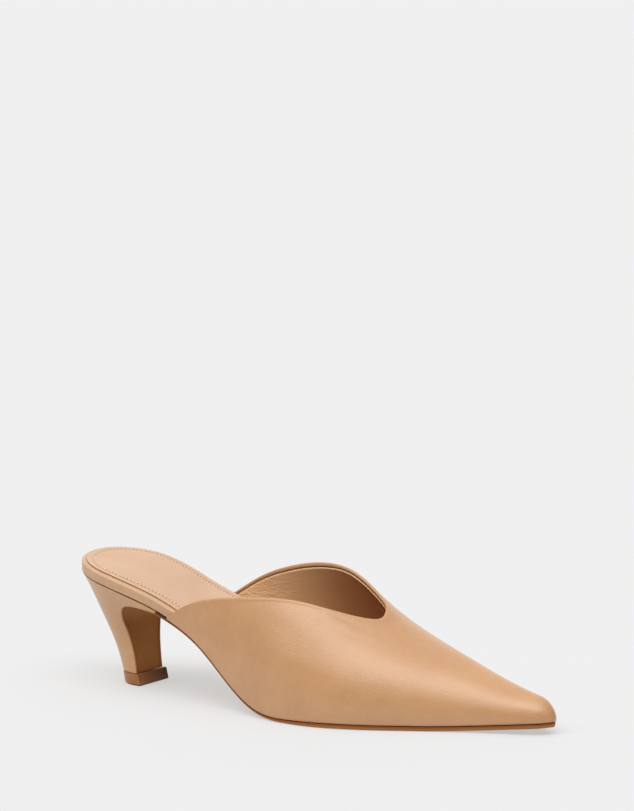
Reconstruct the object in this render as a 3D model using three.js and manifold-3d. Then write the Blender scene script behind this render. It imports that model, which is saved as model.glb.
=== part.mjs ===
// Backless mule, right foot: pointed closed vamp, flared mid heel, leather-wrapped footbed.
// Millimetres. x runs from the back of the seat to the toe, y to the inner side, z up.
import * as THREE from 'three';
import { mergeVertices } from 'three/addons/utils/BufferGeometryUtils.js';
import Module from 'manifold-3d';

const wasm = await Module();
wasm.setup();

// Driving sizes of the last
const shoeLength = 252.5;
const ballWidth = 78.4;
const seatHeight = 56.5;
const instepHeight = 52.7;
const archRise = 5;
const archFrom = 0.20;
const archTo = 0.58;

// Driving sizes of the pieces
const wall = 1.6;
const gap = 0.3;
const forefootSole = 2.2;
const waistSole = 1;
const boardThickness = 5.4;
const boardAtToe = 3;
const boardEdgeRound = 1.6;
const sockThickness = 0.7;
const sockInset = 2.15;
const soleInset = 0.4;
const capHeight = 5.6;
const capEdge = 0.2;
const capHalfWidth = 11.6;
const heelHalfWidth = 10.7;

// Room between the footbed's edge and the inside of the vamp
const boardRoom = 0.4;

// Lengths of the rounded ends, in plan and in height
const seatRound = 26;
const toeRound = 7;
const noseRound = 9;
const boardToeGap = 9;
const sockToeGap = 13;
const boardInsetFrom = 30;
const lipEnd = 55.7;
const lipDrop = 0.1;
const soleStart = 56;
const soleThickensFrom = 105;
const soleThickensOver = 60;

// Fineness of the facets: lines across each piece as shares of its half width, and counts of stations
const soleShares = [-1, -0.7, -0.35, 0, 0.35, 0.7, 1];
const soleStationCount = 34;
const boardShares = [-1, -0.985, -0.94, -0.6, -0.2, 0.2, 0.6, 0.94, 0.985, 1];
const boardStationCount = 38;
const boardRoundCount = 7;
const sockShares = [-1, -0.6, -0.2, 0.2, 0.6, 1];
const sockStationCount = 38;
const vampSideColumns = 17;
const vampLengthCount = 32;
const vampNoseCount = 6;
const toplineSamples = 240;
const heelRingCount = 12;
const heelStraightCount = 5;
const heelRoundCount = 9;
const breastCurveCount = 27;
const weldDistance = 1e-4;

// The heel's block stands above the seat before it is trimmed, as a share of its height
const heelOvershoot = 1.08;
const cutterReach = 60;
const seatCutStations = [-2, 0, 6, 12, 18, 24, 30, 36, 42, 48, 54, 60];
const seatCutShares = [-1.2, -0.6, 0, 0.6, 1.2];

// The last, from the back of the seat to the toe. at: share of the length. centre and half: shares
// of the ball width. rise: the feather line's height on the outer side, a share of the seat height.
const lastTable = [
  { at: 0.00, centre: 0.004, half: 0.363, rise: 1.000 },
  { at: 0.11, centre: -0.006, half: 0.370, rise: 0.890 },
  { at: 0.24, centre: -0.006, half: 0.357, rise: 0.685 },
  { at: 0.32, centre: -0.032, half: 0.350, rise: 0.505 },
  { at: 0.40, centre: -0.050, half: 0.382, rise: 0.235 },
  { at: 0.48, centre: -0.064, half: 0.445, rise: 0.059 },
  { at: 0.55, centre: -0.062, half: 0.492, rise: 0.034 },
  { at: 0.63, centre: -0.035, half: 0.500, rise: 0.044 },
  { at: 0.71, centre: 0.004, half: 0.440, rise: 0.044 },
  { at: 0.81, centre: 0.035, half: 0.297, rise: 0.046 },
  { at: 0.91, centre: 0.056, half: 0.174, rise: 0.073 },
  { at: 1.00, centre: 0.067, half: 0.073, rise: 0.106 },
];

// The vamp's highest line. height: a share of the instep height.
const ridgeTable = [
  { at: 0.24, height: 1.880 },
  { at: 0.40, height: 1.627 },
  { at: 0.55, height: 1.324 },
  { at: 0.63, height: 1.000 },
  { at: 0.71, height: 0.762 },
  { at: 0.81, height: 0.566 },
  { at: 0.91, height: 0.387 },
  { at: 1.00, height: 0.275 },
];

// The topline. girth: share of the way from the feather line up to the ridge. outer and inner: where
// the vamp starts there, as shares of the length.
const toplineTable = [
  { girth: 0.00, outer: 0.249, inner: 0.237 },
  { girth: 0.12, outer: 0.291, inner: 0.284 },
  { girth: 0.25, outer: 0.345, inner: 0.330 },
  { girth: 0.40, outer: 0.428, inner: 0.385 },
  { girth: 0.55, outer: 0.543, inner: 0.458 },
  { girth: 0.70, outer: 0.618, inner: 0.554 },
  { girth: 0.85, outer: 0.661, inner: 0.628 },
  { girth: 1.00, outer: 0.655, inner: 0.655 },
];

// How far the heel has spread from the cap's outline to the seat's. share: of the height.
const flareTable = [
  { share: 0.00, back: 0.000, side: 0.000 },
  { share: 0.18, back: 0.170, side: 0.013 },
  { share: 0.38, back: 0.410, side: 0.100 },
  { share: 0.58, back: 0.660, side: 0.285 },
  { share: 0.74, back: 0.805, side: 0.525 },
  { share: 0.88, back: 0.910, side: 0.765 },
  { share: 1.00, back: 1.000, side: 1.000 },
];

// Side view of the breast, from the cap up and forward under the waist
const breastTable = [
  { x: 33.9, z: -2 },
  { x: 32.7, z: 6 },
  { x: 31.6, z: 15 },
  { x: 29.9, z: 25 },
  { x: 28.8, z: 32 },
  { x: 30.1, z: 36.6 },
  { x: 32.9, z: 39.5 },
  { x: 38.6, z: 40.7 },
  { x: 47.0, z: 40.3 },
  { x: 56.5, z: 39.5 },
];

// Heel outline at the cap and at the seat: front end, start of the round back, and its end
const heelFoot = { front: 42, waist: 32.4, back: 18.8 };
const heelSeat = { front: 58, waist: seatRound, back: 0 };
const capTop = { front: 34.1, waist: 32.8, back: 19.6 };
const capFloor = { front: 35.5, waist: 34.2, back: 20.6 };

// Section of the vamp: how far its control points lean out, up and flat
const sectionShape = { out: 0.10, up: 0.55, flat: 0.55, ridgeOffset: 0.10 };

const outerSide = -1;
const innerSide = 1;

const finishes = {
  vampLeather: { color: 0xd7a97c, roughness: 0.42 },
  heelLeather: { color: 0xc99c72, roughness: 0.42 },
  sockLeather: { color: 0xe0b692, roughness: 0.55 },
  rimLeather: { color: 0xc79f77, roughness: 0.5 },
  soleLeather: { color: 0x7a4a2a, roughness: 0.6 },
  heelTip: { color: 0x6a3c20, roughness: 0.3 },
};

function clamp01(value) {
  return Math.min(1, Math.max(0, value));
}

function smooth(value) {
  const t = clamp01(value);
  return t * t * (3 - 2 * t);
}

// 0 at an end and 1 from the round length on, along a quarter ellipse
function roundEnd(distance, roundLength) {
  const left = 1 - clamp01(distance / roundLength);
  return Math.sqrt(1 - left * left);
}

// Natural cubic spline through one column of a table
function curveThrough(table, key, column) {
  const at = table.map((row) => row[key]);
  const value = table.map((row) => row[column]);
  const last = at.length - 1;
  const bend = new Array(last + 1).fill(0);
  const carry = new Array(last + 1).fill(0);
  for (let i = 1; i < last; i += 1) {
    const before = at[i] - at[i - 1];
    const after = at[i + 1] - at[i];
    const turn = (value[i + 1] - value[i]) / after - (value[i] - value[i - 1]) / before;
    const pivot = 2 * (before + after) - before * carry[i - 1];
    carry[i] = after / pivot;
    bend[i] = (6 * turn - before * bend[i - 1]) / pivot;
  }
  for (let i = last - 1; i > 0; i -= 1) {
    bend[i] -= carry[i] * bend[i + 1];
  }
  return (x) => {
    let i = 0;
    while (i < last - 1 && x > at[i + 1]) {
      i += 1;
    }
    const step = at[i + 1] - at[i];
    const a = at[i + 1] - x;
    const b = x - at[i];
    const bent = (bend[i] * a ** 3 + bend[i + 1] * b ** 3) / (6 * step);
    const low = (value[i] / step - (bend[i] * step) / 6) * a;
    const high = (value[i + 1] / step - (bend[i + 1] * step) / 6) * b;
    return bent + low + high;
  };
}

const centreShare = curveThrough(lastTable, 'at', 'centre');
const halfShare = curveThrough(lastTable, 'at', 'half');
const riseShare = curveThrough(lastTable, 'at', 'rise');
const ridgeShare = curveThrough(ridgeTable, 'at', 'height');
const toplineOuter = curveThrough(toplineTable, 'girth', 'outer');
const toplineInner = curveThrough(toplineTable, 'girth', 'inner');
const flareBack = curveThrough(flareTable, 'share', 'back');
const flareSide = curveThrough(flareTable, 'share', 'side');

const centreAt = (x) => ballWidth * centreShare(x / shoeLength);
const halfAt = (x) => ballWidth * halfShare(x / shoeLength);
const ridgeAt = (x) => instepHeight * ridgeShare(x / shoeLength);

// The sole thickens from the waist to the tread
function soleThicknessAt(x) {
  return waistSole + (forefootSole - waistSole) * smooth((x - soleThickensFrom) / soleThickensOver);
}

// Feather line of the outer side, flat on the forefoot's tread
function featherAt(x) {
  return Math.max(soleThicknessAt(x) + gap, seatHeight * riseShare(x / shoeLength));
}

// The waist lifts towards the inner side
function archAt(x) {
  const share = clamp01((x / shoeLength - archFrom) / (archTo - archFrom));
  return archRise * Math.sin(Math.PI * share) ** 2;
}

// Half width of the outline that lies the inset inside the last's own outline
function outlineHalf(x, inset) {
  const heelEnd = roundEnd(x - inset, seatRound - inset);
  const toeEnd = roundEnd(shoeLength - inset - x, toeRound - inset / 2);
  return (halfAt(x) - inset) * heelEnd * toeEnd;
}

// Height of the sole's upper surface at a point of the plan
function beddingAt(x, y) {
  const across = (y - centreAt(x)) / halfAt(x);
  return featherAt(x) + archAt(x) * smooth((across + 1) / 2);
}

// Stations along the shoe, closer together where an end is round
function stationsBetween(from, fromRound, to, toRound, middleCount, roundCount = 6) {
  const quarter = Math.PI / 2;
  const list = [];
  const start = from + fromRound;
  const end = to - toRound;
  for (let i = 0; i < roundCount && fromRound > 0; i += 1) {
    list.push(start - fromRound * Math.cos((i / roundCount) * quarter));
  }
  for (let i = 0; i <= middleCount; i += 1) {
    list.push(start + ((end - start) * i) / middleCount);
  }
  for (let i = roundCount - 1; i >= 0 && toRound > 0; i -= 1) {
    list.push(end + toRound * Math.cos((i / roundCount) * quarter));
  }
  return list;
}

// Geometry from triangles of points: shared corners are merged, collapsed triangles are left out
// and the faces are turned outwards.
function geometryFromTriangles(triangles) {
  const numbers = new Map();
  const positions = [];
  const indices = [];
  const numberOf = (point) => {
    const key = point.toArray().map((value) => Math.round(value / weldDistance)).join(' ');
    if (!numbers.has(key)) {
      numbers.set(key, positions.length / 3);
      positions.push(point.x, point.y, point.z);
    }
    return numbers.get(key);
  };
  let volume = 0;
  for (const [a, b, c] of triangles) {
    const corners = [numberOf(a), numberOf(b), numberOf(c)];
    if (new Set(corners).size === 3) {
      indices.push(...corners);
      volume += a.dot(new THREE.Vector3().crossVectors(b, c));
    }
  }
  if (volume < 0) {
    indices.reverse();
  }
  const geometry = new THREE.BufferGeometry();
  geometry.setAttribute('position', new THREE.Float32BufferAttribute(positions, 3));
  geometry.setIndex(indices);
  return geometry;
}

// Closed solid between two grids of points that have the same rows and columns
function solidBetween(gridA, gridB) {
  const rows = gridA.length - 1;
  const columns = gridA[0].length - 1;
  const triangles = [];
  const quad = (a, b, c, d) => triangles.push([a, b, c], [a, c, d]);
  for (let i = 0; i < rows; i += 1) {
    for (let j = 0; j < columns; j += 1) {
      quad(gridA[i][j], gridA[i + 1][j], gridA[i + 1][j + 1], gridA[i][j + 1]);
      quad(gridB[i][j], gridB[i][j + 1], gridB[i + 1][j + 1], gridB[i + 1][j]);
    }
  }
  for (let i = 0; i < rows; i += 1) {
    quad(gridA[i + 1][0], gridA[i][0], gridB[i][0], gridB[i + 1][0]);
    quad(gridA[i][columns], gridA[i + 1][columns], gridB[i + 1][columns], gridB[i][columns]);
  }
  for (let j = 0; j < columns; j += 1) {
    quad(gridA[0][j], gridA[0][j + 1], gridB[0][j + 1], gridB[0][j]);
    quad(gridA[rows][j + 1], gridA[rows][j], gridB[rows][j], gridB[rows][j + 1]);
  }
  return geometryFromTriangles(triangles);
}

// Closed solid through level rings of points, with a fan over each end
function solidThroughRings(rings) {
  const triangles = [];
  const count = rings[0].length;
  for (let i = 0; i < rings.length - 1; i += 1) {
    for (let j = 0; j < count; j += 1) {
      const k = (j + 1) % count;
      triangles.push([rings[i][j], rings[i][k], rings[i + 1][k]]);
      triangles.push([rings[i][j], rings[i + 1][k], rings[i + 1][j]]);
    }
  }
  const middleOf = (ring) => {
    const sum = ring.reduce((total, point) => total.add(point), new THREE.Vector3());
    return sum.divideScalar(count);
  };
  const low = rings[0];
  const high = rings[rings.length - 1];
  const lowMiddle = middleOf(low);
  const highMiddle = middleOf(high);
  for (let j = 0; j < count; j += 1) {
    const k = (j + 1) % count;
    triangles.push([low[k], low[j], lowMiddle]);
    triangles.push([high[j], high[k], highMiddle]);
  }
  return geometryFromTriangles(triangles);
}

function toSolid(geometry) {
  const bare = geometry.clone();
  bare.deleteAttribute('normal');
  bare.deleteAttribute('uv');
  const merged = mergeVertices(bare, weldDistance);
  return new wasm.Manifold(new wasm.Mesh({
    numProp: 3,
    vertProperties: new Float32Array(merged.attributes.position.array),
    triVerts: new Uint32Array(merged.index.array),
  }));
}

function fromSolid(solid) {
  const mesh = solid.getMesh();
  const geometry = new THREE.BufferGeometry();
  geometry.setAttribute('position', new THREE.BufferAttribute(mesh.vertProperties, 3));
  geometry.setIndex(new THREE.BufferAttribute(mesh.triVerts, 1));
  return geometry;
}

// A grid over part of the plan: heightAt gives z from x, y and the share across
function planGrid(stations, shares, halfFor, heightAt) {
  return stations.map((x) => shares.map((share) => {
    const y = centreAt(x) + halfFor(x) * share;
    return new THREE.Vector3(x, y, heightAt(x, y, share));
  }));
}

function outsole() {
  const stations = stationsBetween(soleStart, 0, shoeLength - soleInset, toeRound, soleStationCount);
  const halfFor = (x) => outlineHalf(x, soleInset);
  const topAt = (x, y) => beddingAt(x, y) - gap;
  const bottomAt = (x, y) => Math.max(0, topAt(x, y) - soleThicknessAt(x));
  return solidBetween(
    planGrid(stations, soleShares, halfFor, topAt),
    planGrid(stations, soleShares, halfFor, bottomAt),
  );
}

// The footbed draws in to make room for the vamp's wall
function boardHalf(x) {
  const inset = (wall + boardRoom) * smooth((x - boardInsetFrom) / (soleStart - boardInsetFrom));
  const end = roundEnd(shoeLength - boardToeGap - x, toeRound);
  return (outlineHalf(x, 0) - inset) * end;
}

function boardTopAt(x, y) {
  const thin = smooth((x - soleStart) / (shoeLength / 2));
  return beddingAt(x, y) + boardThickness + (boardAtToe - boardThickness) * thin;
}

function insoleBoard() {
  const end = shoeLength - boardToeGap;
  const stations = stationsBetween(0, seatRound, end, toeRound, boardStationCount, boardRoundCount);
  const roundedTop = (x, y, share) => {
    const fromEdge = (1 - Math.abs(share)) * boardHalf(x);
    return boardTopAt(x, y) - boardEdgeRound * (1 - roundEnd(fromEdge, boardEdgeRound));
  };
  return solidBetween(
    planGrid(stations, boardShares, boardHalf, roundedTop),
    planGrid(stations, boardShares, boardHalf, beddingAt),
  );
}

function sockHalf(x) {
  const back = roundEnd(x - sockInset, seatRound - sockInset);
  const front = roundEnd(shoeLength - sockToeGap - x, toeRound);
  const inset = sockInset + (wall + gap) * smooth((x - boardInsetFrom) / (soleStart - boardInsetFrom));
  return (halfAt(x) - inset) * back * front;
}

function insoleSock() {
  const start = sockInset;
  const end = shoeLength - sockToeGap;
  const stations = stationsBetween(start, seatRound - sockInset, end, toeRound, sockStationCount);
  const bottomAt = (x, y) => boardTopAt(x, y) + gap;
  const topAt = (x, y) => bottomAt(x, y) + sockThickness;
  return solidBetween(
    planGrid(stations, sockShares, sockHalf, topAt),
    planGrid(stations, sockShares, sockHalf, bottomAt),
  );
}

// A point of the vamp, the depth inside its outer face. girth: 0 at the feather line, 1 at the ridge.
function vampPoint(x, girth, side, depth) {
  const slope = (ridgeAt(x + 1) - ridgeAt(x - 1)) / 2;
  const nose = roundEnd(shoeLength - depth - x, noseRound - depth / 2);
  const half = (halfAt(x) - depth) * roundEnd(shoeLength - depth - x, toeRound - depth / 2);
  const low = featherAt(x);
  const high = low + (ridgeAt(x) - depth * Math.hypot(1, slope) - low) * nose;
  const ridgeY = centreAt(x) + sectionShape.ridgeOffset * half;
  const edgeY = centreAt(x) + side * half;
  const width = Math.abs(ridgeY - edgeY);
  const rise = side === innerSide ? archAt(x) : 0;
  const edge = new THREE.Vector2(edgeY, low + rise);
  const lower = new THREE.Vector2(edgeY + side * sectionShape.out * width,
    low + sectionShape.up * (high - low));
  const upper = new THREE.Vector2(ridgeY + side * sectionShape.flat * width, high);
  const section = new THREE.CubicBezierCurve(edge, lower, upper, new THREE.Vector2(ridgeY, high));
  const point = section.getPoint(girth);
  return new THREE.Vector3(x, point.x, point.y);
}

function toplineStart(girth, side) {
  const share = side === outerSide ? toplineOuter(girth) : toplineInner(girth);
  return share * shoeLength;
}

// Girths of the grid's columns on one side, evenly spaced along the topline
function evenGirths(side, count) {
  const fine = toplineSamples;
  const travelled = [0];
  let before = vampPoint(toplineStart(0, side), 0, side, 0);
  for (let i = 1; i <= fine; i += 1) {
    const here = vampPoint(toplineStart(i / fine, side), i / fine, side, 0);
    travelled.push(travelled[i - 1] + here.distanceTo(before));
    before = here;
  }
  const girths = [];
  for (let j = 0; j <= count; j += 1) {
    const wanted = (travelled[fine] * j) / count;
    const above = Math.max(1, travelled.findIndex((length) => length >= wanted - 1e-9));
    const part = (wanted - travelled[above - 1]) / (travelled[above] - travelled[above - 1]);
    girths.push((above - 1 + part) / fine);
  }
  return girths;
}

function vampGrid(depth) {
  const end = shoeLength - depth;
  const noseStart = shoeLength - noseRound;
  const columnsOf = (side) => evenGirths(side, vampSideColumns).map((girth) => ({ side, girth }));
  const columns = [...columnsOf(outerSide), ...columnsOf(innerSide).reverse().slice(1)];
  const rows = [];
  for (let i = 0; i <= vampLengthCount + vampNoseCount; i += 1) {
    const turn = (Math.max(0, i - vampLengthCount) / vampNoseCount) * (Math.PI / 2);
    rows.push(columns.map(({ side, girth }) => {
      const start = toplineStart(girth, side);
      const straight = start + (noseStart - start) * Math.min(1, i / vampLengthCount);
      return vampPoint(straight + (end - noseStart) * Math.sin(turn), girth, side, depth);
    }));
  }
  return rows;
}

function upper() {
  return solidBetween(vampGrid(0), vampGrid(wall));
}

// Ring of points round a heel section: straight sides, then a half-round back
function heelRing(place) {
  const list = [];
  for (let i = 0; i <= heelStraightCount + heelRoundCount; i += 1) {
    const straight = Math.min(1, i / heelStraightCount);
    const turn = (Math.max(0, i - heelStraightCount) / heelRoundCount) * (Math.PI / 2);
    list.push({ straight, turn });
  }
  const ring = [];
  list.forEach(({ straight, turn }) => ring.push(place(straight, turn, outerSide)));
  list.slice(0, -1).reverse().forEach(({ straight, turn }) => {
    ring.push(place(straight, turn, innerSide));
  });
  return ring;
}

function outlineX({ front, waist, back }, straight, turn) {
  return front + (waist - front) * straight - (waist - back) * Math.sin(turn);
}

function heelBody() {
  const foot = capHeight + gap;
  const rings = [];
  for (let i = 0; i <= heelRingCount; i += 1) {
    const share = (i / heelRingCount) * heelOvershoot;
    rings.push(heelRing((straight, turn, side) => {
      const seatX = outlineX(heelSeat, straight, turn);
      const footX = outlineX(heelFoot, straight, turn);
      const seatHalf = (halfAt(seatX) - soleInset) * Math.cos(turn);
      const footHalf = heelHalfWidth * Math.cos(turn);
      const x = footX + (seatX - footX) * flareBack(Math.min(share, 1));
      const half = footHalf + (seatHalf - footHalf) * flareSide(Math.min(share, 1));
      const z = foot + (featherAt(seatX) - gap - foot) * share;
      return new THREE.Vector3(x, centreAt(seatX) + side * half, z);
    }));
  }
  return solidThroughRings(rings);
}

// Everything in front of the breast and under the lip
function breastCutter() {
  const points = breastTable.map(({ x, z }) => new THREE.Vector2(x, z));
  const curve = new THREE.SplineCurve(points).getPoints(breastCurveCount);
  const lip = curve.filter((point) => point.x <= lipEnd);
  const shape = new THREE.Shape();
  shape.moveTo(lip[0].x, lip[0].y);
  lip.slice(1).forEach((point) => shape.lineTo(point.x, point.y));
  shape.lineTo(lipEnd, lip[lip.length - 1].y - lipDrop);
  shape.lineTo(lipEnd, 2 * cutterReach);
  shape.lineTo(2 * cutterReach, 2 * cutterReach);
  shape.lineTo(2 * cutterReach, lip[0].y);
  const prism = new THREE.ExtrudeGeometry(shape, { depth: 2 * cutterReach, bevelEnabled: false });
  prism.rotateX(Math.PI / 2);
  prism.translate(0, cutterReach, 0);
  return prism;
}

// Everything above the seat
function seatCutter() {
  const seatAt = (x, y) => beddingAt(Math.max(x, 0), y) - gap;
  return solidBetween(
    planGrid(seatCutStations, seatCutShares, halfAt, () => 2 * seatHeight),
    planGrid(seatCutStations, seatCutShares, halfAt, seatAt),
  );
}

function heel() {
  const body = toSolid(heelBody());
  const cut = body.subtract(toSolid(breastCutter())).subtract(toSolid(seatCutter()));
  return fromSolid(cut);
}

function heelCap() {
  const levels = [
    { z: 0, share: 0, inset: capEdge },
    { z: capEdge, share: capEdge / capHeight, inset: 0 },
    { z: capHeight, share: 1, inset: 0 },
  ];
  const rings = levels.map(({ z, share, inset }) => heelRing((straight, turn, side) => {
    const low = outlineX(capFloor, straight, turn);
    const high = outlineX(capTop, straight, turn);
    const middle = (capFloor.front + capFloor.back) / 2;
    const x = low + (high - low) * share;
    const half = (capHalfWidth - inset) * Math.cos(turn);
    const pull = 1 - inset / (middle - capFloor.back);
    return new THREE.Vector3(middle + (x - middle) * pull, centreAt(x) + side * half, z);
  }));
  return solidThroughRings(rings);
}

function piece(name, geometry, finish) {
  geometry.computeVertexNormals();
  const material = new THREE.MeshStandardMaterial({ metalness: 0, ...finish });
  const mesh = new THREE.Mesh(geometry, material);
  mesh.name = name;
  return mesh;
}

const shoe = new THREE.Group();
shoe.add(
  piece('outsole', outsole(), finishes.soleLeather),
  piece('heel', heel(), finishes.heelLeather),
  piece('heel_cap', heelCap(), finishes.heelTip),
  piece('insole_board', insoleBoard(), finishes.rimLeather),
  piece('insole_sock', insoleSock(), finishes.sockLeather),
  piece('upper', upper(), finishes.vampLeather),
);

// The origin is under the middle of the shoe's box, on the floor
const middle = new THREE.Box3().setFromObject(shoe).getCenter(new THREE.Vector3());
shoe.position.set(-middle.x, -middle.y, 0);

export default shoe;
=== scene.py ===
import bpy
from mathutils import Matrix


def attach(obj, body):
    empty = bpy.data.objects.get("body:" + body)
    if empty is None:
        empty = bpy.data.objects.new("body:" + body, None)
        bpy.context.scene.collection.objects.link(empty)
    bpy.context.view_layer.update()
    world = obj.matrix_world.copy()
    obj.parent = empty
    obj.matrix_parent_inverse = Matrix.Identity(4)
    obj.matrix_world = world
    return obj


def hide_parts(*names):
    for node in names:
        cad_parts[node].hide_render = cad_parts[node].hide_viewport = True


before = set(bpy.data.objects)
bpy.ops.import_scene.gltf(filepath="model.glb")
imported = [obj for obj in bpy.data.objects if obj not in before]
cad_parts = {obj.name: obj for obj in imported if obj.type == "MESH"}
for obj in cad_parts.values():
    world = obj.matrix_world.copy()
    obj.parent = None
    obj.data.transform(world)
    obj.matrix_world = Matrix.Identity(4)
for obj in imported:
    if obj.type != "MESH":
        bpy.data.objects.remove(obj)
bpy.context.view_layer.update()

import math

import bmesh
import bpy
import numpy as np
from mathutils import Vector

# Everything below is in millimetres on the last: x from the back of the seat to the toe, y to the
# inner side, z up. toFrame() turns it into the frame's metres.
last = {
    "length": 252.5,
    "ballWidth": 78.4,
    "seatHeight": 56.5,
    "instepHeight": 52.7,
    "archRise": 5.0,
    "archFrom": 0.20,
    "archTo": 0.58,
    "gap": 0.3,
    "forefootSole": 2.2,
    "waistSole": 1.0,
    "soleThickens": (105.0, 165.0),
    "seatRound": 26.0,
    "toeRound": 7.0,
    "noseRound": 9.0,
    "shift": (-126.25, 3.64, 0.0),
}
lastTable = {
    "at": (0, 0.11, 0.24, 0.32, 0.40, 0.48, 0.55, 0.63, 0.71, 0.81, 0.91, 1),
    "centre": (0.004, -0.006, -0.006, -0.032, -0.050, -0.064, -0.062, -0.035, 0.004, 0.035, 0.056, 0.067),
    "half": (0.363, 0.370, 0.357, 0.350, 0.382, 0.445, 0.492, 0.500, 0.440, 0.297, 0.174, 0.073),
    "rise": (1, 0.890, 0.685, 0.505, 0.235, 0.059, 0.034, 0.044, 0.044, 0.046, 0.073, 0.106),
}
ridgeTable = {
    "at": (0.24, 0.40, 0.55, 0.63, 0.71, 0.81, 0.91, 1),
    "height": (1.880, 1.627, 1.324, 1.000, 0.762, 0.566, 0.387, 0.275),
}
toplineTable = {
    "girth": (0, 0.12, 0.25, 0.40, 0.55, 0.70, 0.85, 1),
    "outer": (0.249, 0.291, 0.345, 0.428, 0.543, 0.618, 0.661, 0.655),
    "inner": (0.237, 0.284, 0.330, 0.385, 0.458, 0.554, 0.628, 0.655),
}
sectionShape = {"out": 0.10, "up": 0.55, "flat": 0.55, "ridgeOffset": 0.10}


def toFrame(points):
    return (np.asarray(points, float) + last["shift"]) / 1000


def smooth(value, low, high):
    # 0 at low, 1 at high, soft between
    t = np.clip((value - low) / (high - low), 0, 1)
    return t * t * (3 - 2 * t)


def roundEnd(distance, roundLength):
    left = 1 - np.clip(distance / roundLength, 0, 1)
    return np.sqrt(np.maximum(0, 1 - left * left))


def curveThrough(at, values):
    # natural cubic spline
    at, values = np.array(at, float), np.array(values, float)
    count, step = len(at), np.diff(at)
    system, right = np.eye(count), np.zeros(count)
    for i in range(1, count - 1):
        system[i, i - 1:i + 2] = step[i - 1], 2 * (step[i - 1] + step[i]), step[i]
        right[i] = 6 * ((values[i + 1] - values[i]) / step[i] - (values[i] - values[i - 1]) / step[i - 1])
    bend = np.linalg.solve(system, right)

    def curve(x):
        i = np.clip(np.searchsorted(at, x) - 1, 0, count - 2)
        a, b = at[i + 1] - x, x - at[i]
        bent = (bend[i] * a ** 3 + bend[i + 1] * b ** 3) / (6 * step[i])
        low = (values[i] / step[i] - bend[i] * step[i] / 6) * a
        return bent + low + (values[i + 1] / step[i] - bend[i + 1] * step[i] / 6) * b

    return curve


centreShare = curveThrough(lastTable["at"], lastTable["centre"])
halfShare = curveThrough(lastTable["at"], lastTable["half"])
riseShare = curveThrough(lastTable["at"], lastTable["rise"])
ridgeShare = curveThrough(ridgeTable["at"], ridgeTable["height"])
toplineOuter = curveThrough(toplineTable["girth"], toplineTable["outer"])
toplineInner = curveThrough(toplineTable["girth"], toplineTable["inner"])


def centreAt(x):
    return last["ballWidth"] * centreShare(np.asarray(x) / last["length"])


def halfAt(x):
    return last["ballWidth"] * halfShare(np.asarray(x) / last["length"])


def ridgeAt(x):
    return last["instepHeight"] * ridgeShare(np.asarray(x) / last["length"])


def soleThicknessAt(x):
    grown = smooth(x, *last["soleThickens"])
    return last["waistSole"] + (last["forefootSole"] - last["waistSole"]) * grown


def featherAt(x):
    rise = last["seatHeight"] * riseShare(np.asarray(x) / last["length"])
    return np.maximum(soleThicknessAt(x) + last["gap"], rise)


def archAt(x):
    share = np.clip((x / last["length"] - last["archFrom"]) / (last["archTo"] - last["archFrom"]), 0, 1)
    return last["archRise"] * np.sin(math.pi * share) ** 2


def beddingAt(x, y):
    across = (y - centreAt(x)) / halfAt(x)
    return featherAt(x) + archAt(x) * smooth(across, -1, 1)


def stationsBetween(start, startRound, end, endRound, middleCount, roundCount):
    # closer together where an end is round
    turn = np.arange(roundCount) / roundCount * math.pi / 2
    back = start + startRound - startRound * np.cos(turn) if startRound else np.zeros(0)
    front = end - endRound + endRound * np.cos(turn[::-1]) if endRound else np.zeros(0)
    middle = np.linspace(start + startRound, end - endRound, middleCount + 1)
    return np.concatenate([back, middle, front])


# Mesh tools

weldDistance = 2e-6  # metres


def gridFaces(rows, columns, loopRows=False, loopColumns=False):
    faces = []
    for i in range(rows if loopRows else rows - 1):
        for j in range(columns if loopColumns else columns - 1):
            k, m = (i + 1) % rows, (j + 1) % columns
            faces.append((i * columns + j, k * columns + j, k * columns + m, i * columns + m))
    return faces


def shellFaces(rows, columns):
    # a folded sheet whose rows run out on one face and back on the other, closed at both ends
    faces = gridFaces(rows, columns, loopRows=True)
    for j in (0, columns - 1):
        for i in range(rows // 2 - 1):
            a, b = i, rows - 1 - i
            faces.append((a * columns + j, b * columns + j, (b - 1) * columns + j, (a + 1) * columns + j))
    return faces


def putInScene(name, data):
    thing = bpy.data.objects.new(name, data)
    bpy.context.scene.collection.objects.link(thing)
    return thing


def addPiece(name, points, faces, material, marks=None, sharp=None, second=None):
    mesh = bpy.data.meshes.new(name)
    mesh.from_pydata(toFrame(points).reshape(-1, 3).tolist(), [], faces)
    for mark, values in (marks or {}).items():
        values = np.ravel(values).astype(np.float32)
        mesh.attributes.new(mark, "FLOAT", "POINT").data.foreach_set("value", values)
    work = bmesh.new()
    work.from_mesh(mesh)
    bmesh.ops.remove_doubles(work, verts=work.verts, dist=weldDistance)
    bmesh.ops.recalc_face_normals(work, faces=work.faces)
    work.to_mesh(mesh)
    work.free()
    mesh.shade_smooth()
    if sharp:
        mesh.set_sharp_from_angle(angle=math.radians(sharp))
    piece = putInScene(name, mesh)
    mesh.materials.append(material)
    if second:
        # faces that carry the named mark take the second material
        mark, other = second
        mesh.materials.append(other)
        marked = [item.value > 0.5 for item in mesh.attributes[mark].data]
        for face in mesh.polygons:
            face.material_index = int(all(marked[i] for i in face.vertices))
    print("made", name, len(mesh.polygons), "faces")
    return piece


def addRings(name, rings, *settings, **more):
    # closed rings of points, one beside the other
    faces = gridFaces(*np.shape(rings)[:2], loopColumns=True)
    return addPiece(name, rings, faces, *settings, **more)


def dress(piece, slot, *nodes):
    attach(piece, "root")
    if nodes:
        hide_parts(*nodes)


# Shader tools


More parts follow.
